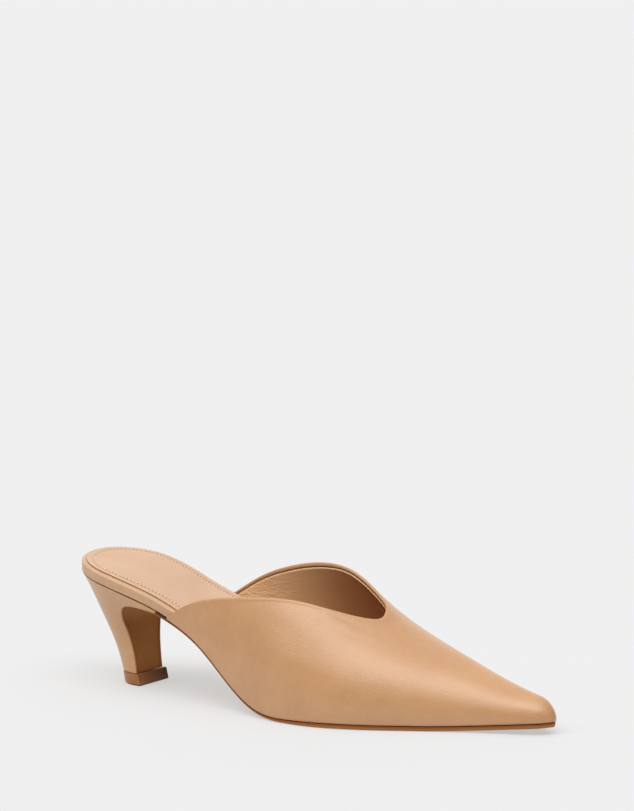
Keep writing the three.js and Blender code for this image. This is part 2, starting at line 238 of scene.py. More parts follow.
class Wire:
    # wraps a socket, so that sums and products of it are written as expressions
    def __init__(self, shader, socket):
        self.shader, self.socket = shader, socket

    def join(self, operation, first, second):
        return self.shader.make("ShaderNodeMath", {"operation": operation}, {0: first, 1: second})

    def __add__(self, other):
        return self.join("ADD", self, other)

    def __sub__(self, other):
        return self.join("SUBTRACT", self, other)

    def __rsub__(self, other):
        return self.join("SUBTRACT", other, self)

    def __mul__(self, other):
        return self.join("MULTIPLY", self, other)

    def __truediv__(self, other):
        return self.join("DIVIDE", self, other)

    def __rtruediv__(self, other):
        return self.join("DIVIDE", other, self)

    __radd__ = __add__
    __rmul__ = __mul__


class Shader:
    def __init__(self, owner):
        self.tree = owner.node_tree

    def make(self, kind, settings=None, sockets=None, out=None):
        node = self.tree.nodes.new(kind)
        for key, value in (settings or {}).items():
            setattr(node, key, value)
        for key, value in (sockets or {}).items():
            found = [s for s in node.inputs if s.enabled and s.name == key] if isinstance(key, str) else None
            socket = found[0] if found else node.inputs[key]
            if isinstance(value, Wire):
                self.tree.links.new(value.socket, socket)
            else:
                socket.default_value = value
        outputs = [s for s in node.outputs if s.enabled and (out is None or s.name == out)]
        return Wire(self, outputs[0]) if outputs else None

    def mix(self, factor, first, second):
        first, second = [(*c, 1) if isinstance(c, tuple) else c for c in (first, second)]
        return self.make("ShaderNodeMix", {"data_type": "RGBA"}, {"Factor": factor, "A": first, "B": second})

    def step(self, value, low, high):
        # 0 below low, 1 above high, soft between
        return self.make("ShaderNodeMapRange", {"interpolation_type": "SMOOTHSTEP"},
                         {"Value": value, "From Min": low, "From Max": high})

    def noise(self, place, scale, detail=2.0, roughness=0.5):
        return self.make("ShaderNodeTexNoise", None,
                         {"Vector": place, "Scale": scale, "Detail": detail, "Roughness": roughness}, "Fac")

    def mark(self, name):
        return self.make("ShaderNodeAttribute", {"attribute_name": name}, None, "Fac")


def srgb(red, green, blue):
    # screen values from 0 to 255 as the shader's linear colour
    return tuple(((c / 255 + 0.055) / 1.055) ** 2.4 for c in (red, green, blue))


def newMaterial(name):
    material = bpy.data.materials.new(name)
    material.use_nodes = True
    material.node_tree.nodes.clear()
    return material, Shader(material)


def mottled(name, look, **stainsAndShade):
    # smooth finish: clouds and fine fibres between two tones, with marked places darkened by stain and by
    # painted shade
    material, shader = newMaterial(name)
    place = shader.make("ShaderNodeTexCoord", None, None, "Object")
    clouds = shader.noise(place, look["cloudScale"], 3.0)
    fibres = shader.noise(place, look["fibreScale"], look["fibreDetail"], look["fibreBite"])
    tone = clouds * (1 - look["fibreShare"]) + fibres * look["fibreShare"]
    colour = shader.mix(tone, look["dark"], look["light"])
    for mark, stain in stainsAndShade.items():
        colour = shader.mix(shader.mark(mark), colour, stain)
    roughness = look["roughness"] + fibres * look["fibreRoughness"]
    height = fibres * look["fibreHeight"] + clouds * look["cloudHeight"]
    finishMaterial(shader, colour, roughness, height, look["specular"])
    return material


def finishMaterial(shader, colour, roughness, height, specular):
    # height is in metres
    normal = shader.make("ShaderNodeBump", None, {"Strength": 1.0, "Distance": 1.0, "Height": height})
    sockets = {"Base Color": colour, "Roughness": roughness, "Normal": normal, "Specular IOR Level": specular}
    surface = shader.make("ShaderNodeBsdfPrincipled", None, sockets)
    shader.make("ShaderNodeOutputMaterial", None, {"Surface": surface})


def leather(name, look, extra=None):
    # satin leather: fine pebble, faint clouds of tone, and a sheen that varies a little with both
    material, shader = newMaterial(name)
    place = shader.make("ShaderNodeTexCoord", None, None, "Object")
    clouds = shader.noise(place, look["cloudScale"], 3.0, 0.55)
    mottle = shader.noise(place, look["mottleScale"], 2.0, 0.6)
    tone = shader.step(clouds * (1 - look["mottleShare"]) + mottle * look["mottleShare"],
                       *look["toneRange"])
    colour = shader.mix(tone, look["dark"], look["light"])
    cells = shader.make("ShaderNodeTexVoronoi", {"feature": "SMOOTH_F1"},
                        {"Vector": place, "Scale": look["pebbleScale"], "Smoothness": 0.6}, "Distance")
    pores = shader.noise(place, look["poreScale"], 2.0, 0.6)
    swell = shader.noise(place, look["swellScale"], 2.0, 0.5)
    grain = cells * (1 - look["poreShare"]) + pores * look["poreShare"]
    height = grain * look["pebbleHeight"] + swell * look["swellHeight"]
    roughness = look["roughness"] + (pores - 0.5) * look["poreRoughness"]
    roughness = roughness + (clouds - 0.5) * look["cloudRoughness"]
    hollows = shader.step(grain, *look["hollowRange"]) * look["hollowTone"]
    colour = shader.mix(hollows, colour, look["dark"])
    if extra:
        colour, roughness, height = extra(shader, place, colour, roughness, height)
    finishMaterial(shader, colour, roughness, height, look["specular"])
    return material


vampFinish = {
    "light": srgb(203, 154, 108),
    "dark": srgb(194, 143, 97),
    "cloudScale": 38.0,
    "mottleScale": 342.0,
    "mottleShare": 0.25,
    "toneRange": (0.32, 0.68),
    "pebbleScale": 1850.0,
    "pebbleHeight": 0.0001,
    "poreScale": 4070.0,
    "poreShare": 0.3,
    "swellScale": 296.0,
    "swellHeight": 0.00004,
    "hollowRange": (0.30, 0.75),
    "hollowTone": 0.3,
    "roughness": 0.33,
    "poreRoughness": 0.10,
    "cloudRoughness": 0.08,
    "specular": 0.85,
}
softFinish = {**vampFinish, "pebbleHeight": 0.00002, "roughness": 0.5}
liningFinish = {
    **softFinish,
    "light": srgb(238, 202, 160),
    "dark": srgb(226, 187, 142),
    "specular": 0.4,
}
rimFinish = {
    **vampFinish,
    "light": srgb(206, 168, 134),
    "dark": srgb(197, 157, 122),
    "roughness": 0.42,
    "specular": 0.5,
}
heelFinish = {
    **vampFinish,
    "light": srgb(210, 162, 117),
    "dark": srgb(202, 152, 106),
    "roughness": 0.34,
    "specular": 0.5,
}
sockFinish = {
    **softFinish,
    "light": srgb(211, 174, 144),
    "dark": srgb(202, 163, 131),
    "specular": 0.5,
}
# the breast's brown-tan leather, made darker still as painted shade, for it lies in the heel's shadow
breastShadedFinish = {
    **softFinish,
    "light": srgb(168, 114, 52),
    "dark": srgb(152, 98, 41),
    "specular": 0.12,
}


def edgeStainAndShade(mark, colour, rougher=0.4):
    # darkens and dulls the places that carry the mark: painted shade along folded edges, cut edges and the
    # gaps between parts, with stain as well on the sock's cut edge
    def extra(shader, place, base, roughness, height):
        painted = shader.mark(mark)
        return shader.mix(painted, base, colour), roughness + painted * rougher, height
    return extra


# Vamp: outer leather with its rolled topline

vamp = {
    "columns": 260,
    "rows": 150,
    "noseRows": 12,
    "rollRows": 12,
    "backRows": 60,
    "backNoseRows": 6,
    "tuckRows": 5,
    "crowding": 1.5,
    "squareFade": 8,
    "rollRadius": 0.72,
    "foldWidth": 2.7,
    "foldDepth": 1.45,
    "backDepth": 1.1,
    "backFrom": 3.6,
    "seamFrom": 0.95,
    # painted shade in the gap between the fold and the lining's edge
    "seamShadeTone": srgb(92, 48, 22),
    "seamLeast": 0.45,
    "seamDarkens": (85.0, 135.0),
    "bareOuter": (0.9, 1.0),
    "bareInner": (1.44, 1.26),
    "tuckIn": 0.9,
    "tuckDown": 1.0,
    "sideLeast": 12.0,
    "sideToRidge": 1.1,
    "throatShift": 0.45,
    "throatGirth": 0.95,
    "throatSpread": 0.22,
    "swell": 0.14,
    "swellAt": 1.3,
    "swellSpread": 1.5,
    "trough": 0.03,
    "troughAt": 5.0,
    "troughSpread": 2.4,
    "girthLength": 70.0,
    "creaseEnd": 0.08,
}
vampFace = slice(vamp["tuckRows"], -vamp["tuckRows"])  # a row without its tucked edges

# Soft troughs and ridges of the worn vamp. from and to: distance along the shoe and girth, 0 at the
# outer feather line, 1 at the ridge, 2 at the inner feather line. width and depth in millimetres.
vampCreases = [
    {"from": (150, 0.62), "to": (166, 0.70), "width": 2.6, "depth": 0.16},
    {"from": (154, 0.55), "to": (171, 0.62), "width": 3.2, "depth": 0.14},
    {"from": (146, 0.50), "to": (160, 0.56), "width": 4.0, "depth": 0.12},
    {"from": (112, 0.34), "to": (150, 0.40), "width": 7.0, "depth": 0.16},
    {"from": (128, 0.22), "to": (158, 0.30), "width": 6.0, "depth": -0.14},
]


def vampPoint(x, girth, depth):
    inner = girth > 1
    side = np.where(inner, 1.0, -1.0)
    share = np.where(inner, 2 - girth, girth)
    length = last["length"] - depth
    slope = (ridgeAt(x + 1) - ridgeAt(x - 1)) / 2
    nose = roundEnd(length - x, last["noseRound"] - depth / 2)
    half = (halfAt(x) - depth) * roundEnd(length - x, last["toeRound"] - depth / 2)
    low = featherAt(x)
    high = low + (ridgeAt(x) - depth * np.hypot(1, slope) - low) * nose
    ridgeY = centreAt(x) + sectionShape["ridgeOffset"] * half
    edgeY = centreAt(x) + side * half
    width = np.abs(ridgeY - edgeY)
    lift = np.where(inner, archAt(x), 0)
    a, b, c, d = (1 - share) ** 3, 3 * share * (1 - share) ** 2, 3 * share ** 2 * (1 - share), share ** 3
    y = (a * edgeY + b * (edgeY + side * sectionShape["out"] * width)
         + c * (ridgeY + side * sectionShape["flat"] * width) + d * ridgeY)
    z = a * (low + lift) + b * (low + sectionShape["up"] * (high - low)) + (c + d) * high
    return np.stack([x + 0 * y, y, z], -1)


def toplineStart(girth):
    return last["length"] * np.where(girth > 1, toplineInner(2 - girth), toplineOuter(girth))


def along(points):
    return np.concatenate([[0], np.cumsum(np.linalg.norm(np.diff(points, axis=0), axis=1))])


def unit(vectors):
    return vectors / np.maximum(1e-9, np.linalg.norm(vectors, axis=-1, keepdims=True))


class Topline:
    # evenly spaced places along the topline, with the direction in the leather square to it
    def __init__(self, columns):
        fine = np.linspace(0, 2, 3001)
        path = vampPoint(toplineStart(fine), fine, 0)
        self.travelled = np.linspace(0, along(path)[-1], columns)
        self.girth = np.interp(self.travelled, along(path), fine)
        self.x = toplineStart(self.girth)
        self.points = vampPoint(self.x, self.girth, 0)
        e, g = 0.05, 0.0005
        alongX = (vampPoint(self.x + e, self.girth, 0) - vampPoint(self.x - e, self.girth, 0)) / (2 * e)
        near = np.clip(self.girth, 2 * g, 2 - 2 * g)
        alongGirth = (vampPoint(self.x, near + g, 0) - vampPoint(self.x, near - g, 0)) / (2 * g)
        tangent = unit(np.gradient(self.points, axis=0))
        normal = unit(np.cross(alongX, alongGirth))
        self.normal = -normal if normal[columns // 2][2] < 0 else normal
        into = unit(np.cross(self.normal, tangent))
        into *= np.sign(np.sum(into * alongX, 1))[:, None]
        xx, xg, gg = [np.sum(p * q, 1) for p, q in
                      ((alongX, alongX), (alongX, alongGirth), (alongGirth, alongGirth))]
        ix, ig = np.sum(into * alongX, 1), np.sum(into * alongGirth, 1)
        whole = xx * gg - xg * xg
        self.stepX, self.stepGirth = (ix * gg - ig * xg) / whole, (ig * xx - ix * xg) / whole

    def row(self, distance, depth, forward=0.0, turn=0.0):
        # distance: from the topline into the leather. forward: share of the way to the nose.
        fromThroat = (self.girth - vamp["throatGirth"]) / vamp["throatSpread"]
        distance = distance - vamp["throatShift"] * np.exp(-(fromThroat ** 2))
        fade = (1 - forward) ** vamp["squareFade"]
        noseStart = last["length"] - last["noseRound"]
        x = self.x + self.stepX * distance * fade
        girth = np.clip(self.girth + self.stepGirth * distance * fade, 0, 2)
        x = x + (noseStart - x) * forward
        x = x + (last["length"] - depth - noseStart) * math.sin(turn)
        return x, girth, depth


def tucked(x, girth, depth):
    # one row of the vamp with its lower edges turned under towards the sole
    side = np.maximum(vamp["sideLeast"], ridgeAt(x) * vamp["sideToRidge"])  # rough length of a side
    lifted = 1 + (girth - 1) * (1 - vamp["tuckDown"] / side)
    row = vampPoint(x, lifted, depth)
    room = max(0.0, vamp["tuckIn"] - depth)

    def under(index, featherGirth, inward):
        edge = row[index]
        drop = edge[2] - vampPoint(x[index], featherGirth, depth)[2]
        points = []
        for angle in np.linspace(math.pi / 2, 0, vamp["tuckRows"] + 1)[:-1]:
            sideways = inward * room * (1 - math.cos(angle))
            points.append((edge[0], edge[1] + sideways, edge[2] - drop * math.sin(angle)))
        return points

    return np.concatenate([under(0, 0.0, 1), row, under(-1, 2.0, -1)[::-1]])


def creaseHeight(x, girth):
    height = 0 * x
    scale = vamp["girthLength"]  # millimetres of leather in one unit of girth
    for crease in vampCreases:
        (x0, g0), (x1, g1) = crease["from"], crease["to"]
        dx, dg = x1 - x0, (g1 - g0) * scale
        share = np.clip(((x - x0) * dx + (girth - g0) * scale * dg) / (dx * dx + dg * dg), 0, 1)
        away = np.hypot(x - x0 - dx * share, (girth - g0) * scale - dg * share)
        taper = np.sin(math.pi * np.clip(share, vamp["creaseEnd"], 1 - vamp["creaseEnd"]))
        height = height - crease["depth"] * taper * np.exp(-((away / (crease["width"] / 2)) ** 2))
    return height


def openTo(girth):
    # 1 over the inner side's front, where the roll turns up and bares the lining's edge
    return smooth(girth, *vamp["bareOuter"]) * smooth(girth, *vamp["bareInner"])


def turns(count):
    return [math.pi / 2 * i / count for i in range(1, count + 1)]


def forwards(count):
    # closer together beside the topline
    return np.linspace(0, 1, count + 1)[1:] ** vamp["crowding"]


topline = Topline(vamp["columns"])


def rollHeight(points):
    # the folded edge stands a little proud, with a soft trough beside it
    away = np.linalg.norm(points - topline.points, axis=1)
    high = vamp["swell"] * np.exp(-(((away - vamp["swellAt"]) / vamp["swellSpread"]) ** 2))
    low = vamp["trough"] * np.exp(-(((away - vamp["troughAt"]) / vamp["troughSpread"]) ** 2))
    return high - low


def outerRow(forward, turn=0.0):
    x, girth, depth = topline.row(vamp["rollRadius"], 0, forward, turn)
    shape = tucked(x, girth, depth)
    if turn == 0:
        lift = creaseHeight(x, girth) + rollHeight(shape[vampFace])
        shape[vampFace] += topline.normal * lift[:, None]
    return shape


def zipFaces(x, split, rowCount, columnCount, j):
    # joins the end column of the outer face with that of the inner face, nearest x to nearest x
    a, b = split, split + 1
    faces = []
    while a > 0 or b < rowCount - 1:
        stepOuter = a > 0 and (b >= rowCount - 1 or x[a - 1] <= x[b + 1])
        if stepOuter:
            faces.append((a * columnCount + j, (a - 1) * columnCount + j, b * columnCount + j))
            a -= 1
        else:
            faces.append((a * columnCount + j, (b + 1) * columnCount + j, b * columnCount + j))
            b += 1
    return faces


def buildVamp():
    radius, bare = vamp["rollRadius"], openTo(topline.girth)
    rows = [outerRow(1.0, turn) for turn in turns(vamp["noseRows"])[::-1]]
    rows += [outerRow(forward) for forward in forwards(vamp["rows"])[::-1]]

    def add(*where):
        rows.append(tucked(*topline.row(*where)))

    for i in range(vamp["rollRows"] + 1):
        angle = math.pi * i / vamp["rollRows"]
        add(radius - radius * math.sin(angle), radius - radius * math.cos(angle))
    depth = vamp["foldDepth"]
    front, width = vamp["seamFrom"], vamp["foldWidth"]
    # the folded edge inside: distance from the topline and depth below the face
    fold = [(1.0, depth), (front - 0.12, depth), (front, depth - 0.04), (front + 0.25, depth - 0.12),
            (width - 0.2, depth - 0.12), (width, depth - 0.25), (width + 0.04, vamp["backDepth"] + 0.02)]
    foldStart = len(rows)
    back = (vamp["backFrom"], vamp["backDepth"])
    for distance, down in fold + [back]:
        add(distance, down)
    for forward in forwards(vamp["backRows"]):
        add(*back, forward)
    for turn in turns(vamp["backNoseRows"]):
        add(*back, 1.0, turn)
    # the two faces have different row counts, so the lower edges are closed by plain strips
    points = np.array(rows)
    rowCount, columnCount = points.shape[:2]
    faces = gridFaces(rowCount, columnCount)
    outerRows = vamp["noseRows"] + vamp["rows"] + 1
    for j in (0, columnCount - 1):
        faces += zipFaces(points[:, j, 0], outerRows, rowCount, columnCount, j)
    # seam: painted shade on the fold's face in the gap above the lining's edge, lighter at the back and
    # darker towards the front; where the roll turns up, the roll's underside and the fold's start take the
    # same painted shade
    seam = np.zeros((rowCount, columnCount))
    least = vamp["seamLeast"]
    dark = least + (1 - least) * smooth(topline.x, *vamp["seamDarkens"])
    seam[foldStart + 2:foldStart + len(fold), vampFace] = dark
    seam[foldStart - 3:foldStart + 2, vampFace] = bare
    material = leather("vamp leather", vampFinish, edgeStainAndShade("seam", vamp["seamShadeTone"]))
    piece = addPiece("vampLeather", points, faces, material, {"seam": seam})
    dress(piece, "vamp_leather", "upper")


buildVamp()

# Lining: thin leather inside the vamp, its cut edge under the topline's seam

lining = {
    "scallopPitch": 1.6,
    "columnsPerScallop": 5,
    "noseRows": 4,
    "edge": 1.35,
    "bareEdge": 0.35,
    "bareDepth": 0.3,
    "edgeWidth": 0.5,
    "innerFrom": 0.7,
    "scallop": 0.13,
    "face": 1.86,
    "back": 1.42,
    "rows": 46,
    "rawEdge": srgb(244, 206, 164),
    # painted shade, darker from the back towards the toe inside the vamp
    "deepShade": srgb(154, 95, 36),
    "shadeDeepens": (70.0, 158.0),
    "wrinkleEnd": (78.0, 118.0),
    "wrinkleTurn": 38.0,
    "wrinkleScale": (330.0, 400.0, 1100.0),
    "wrinkleHeight": 0.00055,
}


def buildLining():
    length = topline.travelled[-1]
    scallops = round(length / lining["scallopPitch"])
    line = Topline(scallops * lining["columnsPerScallop"] + 1)
    wave = lining["scallop"] * np.cos(2 * math.pi * scallops * line.travelled / length)
    bare = openTo(line.girth)
    face, back = lining["face"], lining["back"]
    edge = lining["edge"] + (lining["bareEdge"] - lining["edge"]) * bare
    hang = lining["bareDepth"] * bare
    width = lining["edgeWidth"]
    # the cut edge from behind to the front: distance past the edge, depth below the vamp's face
    front = [(0.4, back), (0.05, back), (0.0, back + 0.1), (0.0, face - 0.12), (0.06, face - 0.02),
             (0.16, face), (width, face), (width + 0.2, face + 0.01)]

    def row(distance, depth, forward=0.0, turn=0.0):
        x, girth, depth = line.row(distance, depth, forward, turn)
        return vampPoint(x, girth, depth)

    inner, noseTurns = edge + lining["innerFrom"], turns(lining["noseRows"])
    rows = [row(inner, back, 1.0, turn) for turn in noseTurns[::-1]]
    rows += [row(inner, back, forward) for forward in forwards(lining["rows"])[::-1]]
    behind = len(rows)
    rows += [row(edge + distance + wave * (distance < 0.2), depth + hang) for distance, depth in front]
    rows += [row(inner, face - 0.02, forward) for forward in forwards(lining["rows"])]
    rows += [row(inner, face - 0.02, 1.0, turn) for turn in noseTurns]
    points = np.array(rows)
    raw = np.zeros(points.shape[:2])
    raw[behind + 1:behind + len(front) - 1] = 1
    x = points[:, :, 0]
    marks = {
        "raw": raw,
        "deepShade": smooth(x, *lining["shadeDeepens"]),
        "wrinkled": 1 - smooth(x, *lining["wrinkleEnd"]),
    }

    def wrinklesAndShade(shader, place, base, roughness, height):
        # fine wrinkles lie slanting across the lining's rear end; towards the toe the lining is darkened with
        # painted shade, and its cut edge takes the raw edge's tone
        slant = (0, math.radians(lining["wrinkleTurn"]), 0)
        spread = shader.make("ShaderNodeMapping", None,
                             {"Vector": place, "Rotation": slant, "Scale": lining["wrinkleScale"]})
        folds = shader.noise(spread, 1.0, 2.0, 0.5)
        height = height + folds * shader.mark("wrinkled") * lining["wrinkleHeight"]
        colour = shader.mix(shader.mark("deepShade"), base, lining["deepShade"])
        return shader.mix(shader.mark("raw"), colour, lining["rawEdge"]), roughness, height

    faces = shellFaces(*points.shape[:2])
    material = leather("lining leather", liningFinish, wrinklesAndShade)
    piece = addPiece("vampLining", points, faces, material, marks)
    dress(piece, "vamp_leather")


buildLining()

# Footbed: board wrapped in leather, its edge open to view round the seat

footbed = {
    "thickness": 5.4,
    "atToe": 3.0,
    "wallRoom": 2.0,
    "drawnIn": (30.0, 56.0),
    "thins": (56.0, 182.25),
    "toeGap": 9.0,
    "stations": (120, 16),
    # height below which the wrap's side is painted with shade, the dark line in the gap above the heel, and
    # its colour
    "under": 0.34,
    "gapShadeTone": srgb(108, 56, 22),
    # inset from the edge, and height
    "side": ((0.9, 0.0), (0.3, 0.02), (0.12, 0.12), (0.05, 0.33), (-0.04, 0.42), (-0.05, 0.56), (0.0, 0.72),
             (0.0, 1.5), (0.0, 3.0), (0.0, 4.0), (0.02, 4.3), (0.10, 4.5), (0.24, 4.64), (0.46, 4.76),
             (0.62, 4.84), (0.70, 4.96), (0.88, 5.12), (1.15, 5.26), (1.5, 5.35), (1.9, 5.38), (2.5, 5.38),
             (3.4, 5.38)),
    "fill": (0.85, 0.6, 0.3, 0.0),
}


def boardThicknessAt(x):
    thinned = smooth(x, *footbed["thins"])
    return footbed["thickness"] + (footbed["atToe"] - footbed["thickness"]) * thinned


def drawnIn(x, inset):
    # makes room for the vamp, from where its rear ends begin
    return inset * smooth(x, *footbed["drawnIn"])


def planRing(stations, half, share=1.0):
    x = np.concatenate([stations, stations[::-1]])
    y = np.concatenate([centreAt(stations) - half * share, (centreAt(stations) + half * share)[::-1]])
    return x, y


def footbedRing(inset):
    toeInset = inset / 2
    end = last["length"] - footbed["toeGap"] - toeInset
    seatRound, toeRound = last["seatRound"] - inset, last["toeRound"] - toeInset
    x = stationsBetween(inset, seatRound, end, toeRound, *footbed["stations"])
    half = halfAt(x) - inset - drawnIn(x, footbed["wallRoom"])
    return x, half * roundEnd(x - inset, seatRound) * roundEnd(end - x, toeRound)


def buildFootbed():
    rings, under = [], []
    side, fill = footbed["side"], footbed["fill"]

    def add(inset, height, share=1.0):
        x, y = planRing(*footbedRing(inset), share)
        z = beddingAt(x, y) + height * boardThicknessAt(x) / footbed["thickness"]
        rings.append(np.stack([x, y, z], 1))
        # the lowest band of the side is painted shade
        under.append(np.full(len(x), float(height < footbed["under"])))

    for share in fill[::-1]:
        add(side[0][0], 0.0, share)
    for inset, height in side:
        add(inset, height)
    for share in fill:
        add(side[-1][0], footbed["thickness"], share)
    material = leather("rim leather", rimFinish, edgeStainAndShade("under", footbed["gapShadeTone"]))
    piece = addRings("footbedWrap", rings, material, {"under": under})
    dress(piece, "rim_leather", "insole_board")


buildFootbed()

# Sock: soft leather glued over the footbed, its cut edge darker with stain and with painted shade, strongest
# at its foot

sock = {
    "inset": 2.15,
    "wallRoom": 1.9,
    "toeGap": 13.0,
    "stations": (150, 18),
    "lift": 0.02,
    "thickness": 0.62,
    # inset from the cut edge, height, and how strongly it is darkened by stain and painted shade
    "edge": ((0.3, 0.0, 1), (0.05, 0.06, 1), (0.0, 0.2, 1), (0.0, 0.36, 1), (0.08, 0.52, 0.3), (0.25, 0.6, 0),
             (0.7, 0.62, 0)),
    "stain": srgb(150, 92, 46),
    "underFill": (0.0, 0.5, 1.0),
    "topFill": (0.9, 0.75, 0.6, 0.45, 0.3, 0.15, 0.0),
    "narrow": 12.0,
    "seam": 3.5,
    "seamRings": (-1.5, -0.3, -0.7, -0.45, -0.2, 0.0, 0.2, 0.45, 0.7, 1.6, 3.0),
    "seamWidth": 0.35,
    "seamDip": 0.12,
    "seamSpread": 0.35,
    "seamSpreads": (8.0, 58.0),
    "stitchPitch": 2.02,
    "stitchStations": (400, 60),
    "thread": {"length": 1.3, "radius": 0.3, "flat": 0.6, "lift": 0.1, "rings": 7},
    "threadTone": srgb(255, 234, 208),
    "hole": {"length": 0.72, "radius": 0.36, "flat": 0.3, "lift": 0.05, "rings": 5},
    "holeShadeTone": srgb(150, 104, 70),
    "stitchColumns": 8,
    "stitchBlunt": 0.6,
    "strandShade": 0.72,
}
threadFinish = {
    "cloudScale": 100.0,
    "cloudHeight": 0.0,
    "fibreScale": 5200.0,
    "fibreDetail": 2.0,
    "fibreBite": 0.6,
    "fibreShare": 1.0,
    "fibreHeight": 0.00002,
    "fibreRoughness": 0.2,
    "roughness": 0.5,
    "specular": 0.3,
}


def sockRing(inset, counts):
    toeInset = inset / 2
    start, end = sock["inset"] + inset, last["length"] - sock["toeGap"] - toeInset
    startRound = last["seatRound"] - start
    x = stationsBetween(start, startRound, end, last["toeRound"], *counts)
    half = halfAt(x) - sock["inset"] - drawnIn(x, sock["wallRoom"])
    spread = 1 + sock["seamSpread"] * smooth(x, *sock["seamSpreads"])
    half = half - inset * smooth(half, 0, sock["narrow"]) * spread
    return x, half * roundEnd(x - start, startRound) * roundEnd(end - x, last["toeRound"])


def sockTop(x, y):
    return beddingAt(x, y) + boardThicknessAt(x) + sock["lift"] + sock["thickness"]


def buildSock():
    rings, stain = [], []
    edge, seam = sock["edge"], sock["seam"]

    def add(inset, drop, mark=0.0, share=1.0):
        x, y = planRing(*sockRing(inset, sock["stations"]), share)
        rings.append(np.stack([x, y, sockTop(x, y) - drop], 1))
        stain.append(np.full(len(x), mark))

    for share in sock["underFill"]:
        add(edge[0][0], sock["thickness"], share=share)
    for inset, height, mark in edge:
        add(inset, sock["thickness"] - height, mark)
    for away in sock["seamRings"]:
        add(seam + away, sock["seamDip"] * math.exp(-((away / sock["seamWidth"]) ** 2)))
    for share in sock["topFill"]:
        add(seam + sock["seamRings"][-1], 0, share=share)
    material = leather("sock leather", sockFinish, edgeStainAndShade("stain", sock["stain"]))
    dress(addRings("sock", rings, material, {"stain": stain}), "sock_leather", "insole_sock")


buildSock()


def capsules(places, directions, normals, shape):
    # one closed rounded stitch at each place
    points, faces = [], []
    around, rings = sock["stitchColumns"], shape["rings"]
    stitchFaces = gridFaces(rings, around, loopColumns=True)
    stitchFaces += [tuple(range(around)), tuple(range((rings - 1) * around, rings * around))[::-1]]
    for place, direction, normal in zip(places, directions, normals):
        side = np.cross(normal, direction)
        base = len(points)
        for i in range(rings):
            angle = math.pi * i / (rings - 1)
            reach, girth = -math.cos(angle), max(0.02, math.sin(angle)) ** sock["stitchBlunt"]
            for j in range(around):
                turn = 2 * math.pi * j / around
                points.append(place + direction * reach * shape["length"] / 2
                              + side * math.cos(turn) * shape["radius"] * girth
                              + normal * math.sin(turn) * shape["radius"] * shape["flat"] * girth)
        faces += [tuple(base + k for k in face) for face in stitchFaces]
    return np.array(points), faces


def evenPlaces(path, pitch):
    travelled = along(path)
    count = int(travelled[-1] / pitch)
    at = np.linspace(0, travelled[-1], count + 1)[:-1]
    places, ahead = [np.stack([np.interp(distance, travelled, path[:, k]) for k in range(3)], 1)
                     for distance in (at, at + 0.2)]
    return places, unit(ahead - places)


def buildSockStitches():
    x, y = planRing(*sockRing(sock["seam"], sock["stitchStations"]))
    path = np.stack([x, y, sockTop(x, y) - sock["seamDip"]], 1)
    path = np.concatenate([path, path[:1]])
    keep = np.concatenate([[True], np.linalg.norm(np.diff(path, axis=0), axis=1) > 1e-6])
    places, directions = evenPlaces(path[keep], sock["stitchPitch"])
    gaps = places + directions * sock["stitchPitch"] / 2
    up = np.zeros_like(places) + (0, 0, 1)
    up = unit(up - directions * np.sum(up * directions, 1)[:, None])

    def add(name, at, shape, finish, tone):
        stitches = capsules(at + up * shape["lift"], directions, up, shape)
        tones = {"light": tone, "dark": tuple(c * sock["strandShade"] for c in tone)}
        dress(addPiece(name, *stitches, mottled(finish, {**threadFinish, **tones})), "sock_leather")

    add("sockStitches", places, sock["thread"], "sock thread", sock["threadTone"])
    # dark flat capsules between the stitches stand for the needle holes: painted shade
    add("sockNeedleHoleShade", gaps, sock["hole"], "needle hole shade", sock["holeShadeTone"])


buildSockStitches()

# Heel: block covered in leather, with painted shade along its folded edges and a darker breast between them,
# the breast's brown partly painted shade

heel = {
    "foot": {"front": 42.0, "waist": 32.4, "back": 18.8},
    "seat": {"front": 58.0, "waist": 26.0, "back": 0.0},
    "halfWidth": 10.7,
    "from": 5.9,
    "seatInset": 0.4,
    "lipEnd": 55.7,
    "lipDrop": 0.05,
    "fold": 1.15,
    "recess": 0.25,
    "rows": 110,
    "heightWeight": 25.0,
    "columns": 46,
    "sideFrom": 0.02,
    "sideSpread": 1.25,
    "panelColumns": 12,
    "endFill": (0.6, 0.25, 0.0),
    # painted shade along the folded edges beside the breast
    "stain": srgb(150, 90, 48),
}
flareTable = {
    "share": (0, 0.18, 0.38, 0.58, 0.74, 0.88, 1),
    "back": (0, 0.170, 0.410, 0.660, 0.805, 0.910, 1),
    "side": (0, 0.013, 0.100, 0.285, 0.525, 0.765, 1),
}
breastTable = {
    "x": (33.9, 32.7, 31.6, 29.9, 28.8, 30.1, 32.9, 38.6, 47.0, 56.5),
    "z": (-2, 6, 15, 25, 32, 36.6, 39.5, 40.7, 40.3, 39.5),
}
flareBack = curveThrough(flareTable["share"], flareTable["back"])
flareSide = curveThrough(flareTable["share"], flareTable["side"])


def outlineX(outline, straight, turn):
    across = outline["front"] + (outline["waist"] - outline["front"]) * straight
    return across - (outline["waist"] - outline["back"]) * np.sin(turn)


def heelPoint(share, way, side):
    # way: 0 at the front end of the side, 1 where the back starts to turn, 2 at the back
    straight, turn = np.minimum(way, 1), np.maximum(way - 1, 0) * math.pi / 2
    seatX, footX = outlineX(heel["seat"], straight, turn), outlineX(heel["foot"], straight, turn)
    seatHalf, footHalf = (halfAt(seatX) - heel["seatInset"]) * np.cos(turn), heel["halfWidth"] * np.cos(turn)
    x = footX + (seatX - footX) * flareBack(share)
    half = footHalf + (seatHalf - footHalf) * flareSide(share)
    z = heel["from"] + (featherAt(seatX) - last["gap"] - heel["from"]) * share
    return np.stack([x, centreAt(seatX) + side * half, z], -1)


